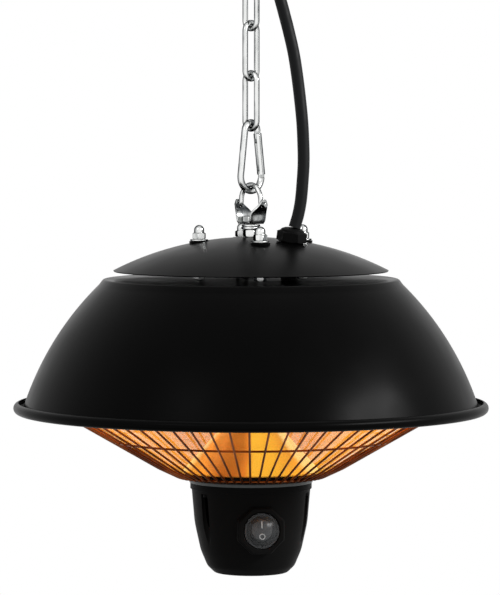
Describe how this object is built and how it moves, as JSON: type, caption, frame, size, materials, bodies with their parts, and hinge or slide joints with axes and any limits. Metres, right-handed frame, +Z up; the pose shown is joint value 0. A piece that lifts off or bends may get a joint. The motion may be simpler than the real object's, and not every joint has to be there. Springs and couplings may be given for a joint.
{
  "type": "hanging patio heater",
  "caption": "Pendant infrared heater: dished shade over a glowing wire-guarded lamp and a switch housing, hung by a short chain and snap hook from a ceiling plate.",
  "frame": {"origin": "centre of the ceiling plate's flat top face", "axes": "+Z up, -Y towards the front with the power switch"},
  "size_m": [0.425, 0.425, 0.628],
  "materials": {
    "zinc": "bright zinc-plated steel",
    "enamel": "satin black heat-proof enamel",
    "moulding": "satin black moulding",
    "rubber": "smooth black rubber sheath",
    "bright": "polished reflector sheet",
    "lamp": "glowing quartz tube",
    "ceramic": "unglazed ceramic",
    "guard": "heat-tinted steel wire",
    "glass": "amber heat-resistant glass",
    "collar": "dark grey satin paint",
    "boot": "clear soft switch boot",
    "rocker": "dark grey rocker"
  },
  "bodies": {
    "ceiling": {"ceiling_plate": "zinc", "ceiling_hook": "zinc", "ceiling_cable_socket": "moulding"},
    "link_1": {"chain_link_1": "zinc"},
    "link_2": {"chain_link_2": "zinc"},
    "link_3": {"chain_link_3": "zinc"},
    "carabiner": {"carabiner_body": "zinc", "gate_pin": "zinc"},
    "gate": {"carabiner_gate": "zinc"},
    "rocker": {"switch_rocker": "rocker"},
    "heater": {"hanger_bail": "zinc", "hanger_strap": "zinc", "hanger_bolt": "zinc", "hanger_washer": "zinc", "hanger_spring_washer": "zinc", "hanger_nut": "zinc", "hanger_lock_nut": "zinc", "acorn_nut_1": "zinc", "acorn_nut_2": "zinc", "acorn_nut_3": "zinc", "acorn_nut_4": "zinc", "cap_washer_1": "zinc", "cap_washer_2": "zinc", "cap_washer_3": "zinc", "cap_washer_4": "zinc", "long_bolt_1": "zinc", "long_bolt_2": "zinc", "long_bolt_3": "zinc", "long_bolt_4": "zinc", "middle_nut_1": "zinc", "middle_nut_2": "zinc", "middle_nut_3": "zinc", "middle_nut_4": "zinc", "central_tube": "zinc", "tube_nut_upper": "zinc", "tube_nut_lower": "zinc", "housing_screw_1": "zinc", "housing_screw_2": "zinc", "housing_screw_3": "zinc", "top_cap": "enamel", "shade": "enamel", "gland_nut": "moulding", "gland_body": "moulding", "gland_lock_nut": "moulding", "guard_base_plate": "moulding", "control_housing": "moulding", "switch_bezel": "moulding", "switch_body": "moulding", "power_cable": "rubber", "inner_lead": "rubber", "cable_grommet": "rubber", "upper_reflector": "bright", "cone_reflector": "bright", "lamp_tube": "lamp", "lamp_holder_left": "ceramic", "lamp_holder_right": "ceramic", "wire_guard": "guard", "glass_guard": "glass", "housing_collar": "collar", "switch_boot": "boot"}
  },
  "joints": [
    {"name": "hook_swing", "type": "hinge", "parent": "ceiling", "child": "link_1", "pos_m": [0, 0, -0.0912], "axis": [0.5736, -0.8192, 0], "range_deg": [-25, 25]},
    {"name": "link_2_swing", "type": "hinge", "parent": "link_1", "child": "link_2", "pos_m": [0, 0, -0.1412], "axis": [0.5736, -0.8192, 0], "range_deg": [-25, 25]},
    {"name": "link_3_swing", "type": "hinge", "parent": "link_2", "child": "link_3", "pos_m": [0, 0, -0.1806], "axis": [0.5736, -0.8192, 0], "range_deg": [-25, 25]},
    {"name": "carabiner_swing", "type": "hinge", "parent": "link_3", "child": "carabiner", "pos_m": [0, 0, -0.2306], "axis": [0.5736, -0.8192, 0], "range_deg": [-25, 25]},
    {"name": "heater_swing", "type": "hinge", "parent": "carabiner", "child": "heater", "pos_m": [0, 0, -0.2803], "axis": [0.5736, -0.8192, 0], "range_deg": [-25, 25]},
    {"name": "gate_hinge", "type": "hinge", "parent": "carabiner", "child": "gate", "pos_m": [0.00686, 0.0048, -0.23681], "axis": [-0.5736, 0.8192, 0], "range_deg": [0, 25], "stiffness_Nm_per_rad": 0.03, "springref_deg": -17.19},
    {"name": "power_rocker", "type": "hinge", "parent": "heater", "child": "rocker", "pos_m": [0, -0.052, -0.585], "axis": [1, 0, 0], "range_deg": [0, 24]}
  ]
}
